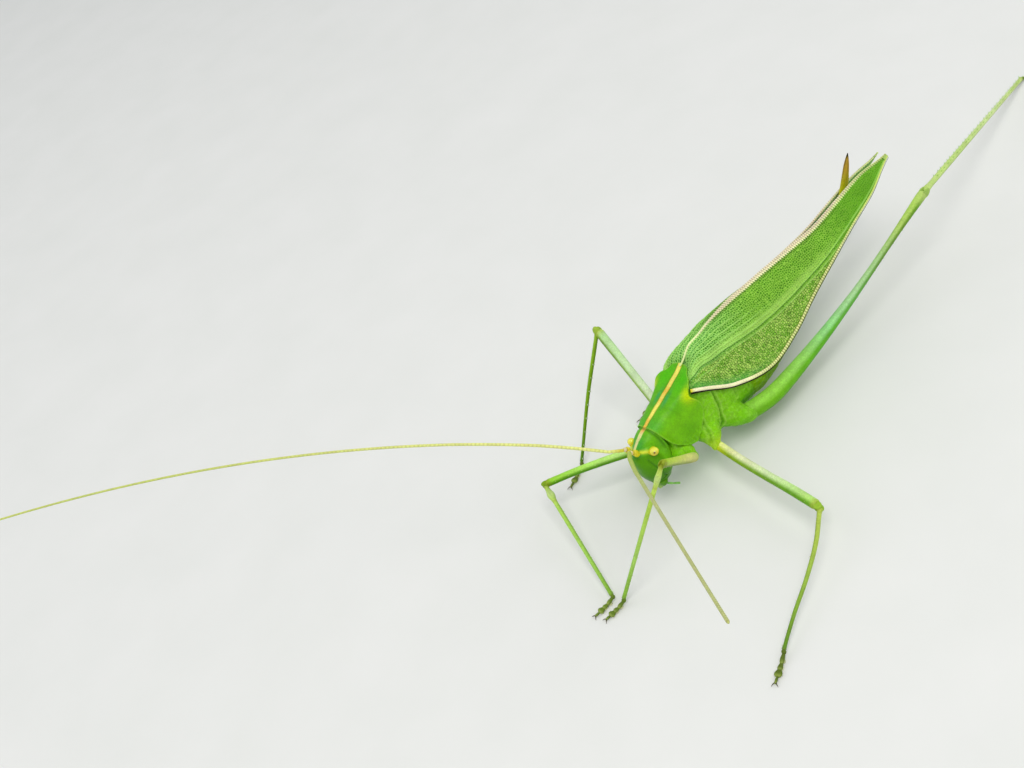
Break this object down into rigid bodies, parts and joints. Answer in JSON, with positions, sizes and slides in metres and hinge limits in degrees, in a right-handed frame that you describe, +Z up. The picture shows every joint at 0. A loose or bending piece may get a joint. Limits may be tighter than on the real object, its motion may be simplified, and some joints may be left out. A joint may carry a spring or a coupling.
{
  "type": "long horned grasshopper",
  "caption": "Still life-size leaf katydid standing with leaf-shaped folded wings, very long thin antennae and long jumping legs.",
  "frame": {"origin": "middle of the model's box at floor level", "axes": "+Z up; the head faces -Y; +X is the insect's left side"},
  "size_m": [0.1066, 0.15, 0.0623],
  "materials": {
    "body_green": "satin",
    "shield_green": "satin",
    "wing_green": "satin",
    "mouth_pale_green": "satin",
    "leg_green": "satin",
    "foot_olive": "satin",
    "feeler_cream": "satin",
    "blade_olive": "satin",
    "eye_yellow": "gloss"
  },
  "bodies": {
    "root": {"thorax": "body_green", "prothorax": "body_green", "pronotum": "shield_green", "abdomen": "body_green", "abdomen_end": "body_green", "ovipositor": "blade_olive", "head": "body_green", "mouthparts": "mouth_pale_green", "tegmen_l": "wing_green", "tegmen_r": "wing_green", "eye_l": "eye_yellow", "scape_l": "feeler_cream", "palp_l": "mouth_pale_green", "cercus_l": "body_green", "eye_r": "eye_yellow", "scape_r": "feeler_cream", "palp_r": "mouth_pale_green", "cercus_r": "body_green", "coxa_fore_l": "body_green", "coxa_fore_r": "body_green", "coxa_middle_l": "body_green", "coxa_middle_r": "body_green", "coxa_hind_l": "body_green", "coxa_hind_r": "body_green", "femur_fore_l": "leg_green", "tibia_fore_l": "leg_green", "tarsus_fore_l": "foot_olive", "femur_fore_r": "leg_green", "tibia_fore_r": "leg_green", "tarsus_fore_r": "foot_olive", "femur_middle_l": "leg_green", "tibia_middle_l": "leg_green", "tarsus_middle_l": "foot_olive", "femur_middle_r": "leg_green", "tibia_middle_r": "leg_green", "tarsus_middle_r": "foot_olive", "femur_hind_l": "leg_green", "tibia_hind_l": "leg_green", "tarsus_hind_l": "foot_olive", "femur_hind_r": "leg_green", "tibia_hind_r": "leg_green", "tarsus_hind_r": "foot_olive", "antenna_l_1": "feeler_cream", "antenna_l_2": "feeler_cream", "antenna_l_3": "feeler_cream", "antenna_r_1": "feeler_cream", "antenna_r_2": "feeler_cream", "antenna_r_3": "feeler_cream"}
  },
  "joints": []
}
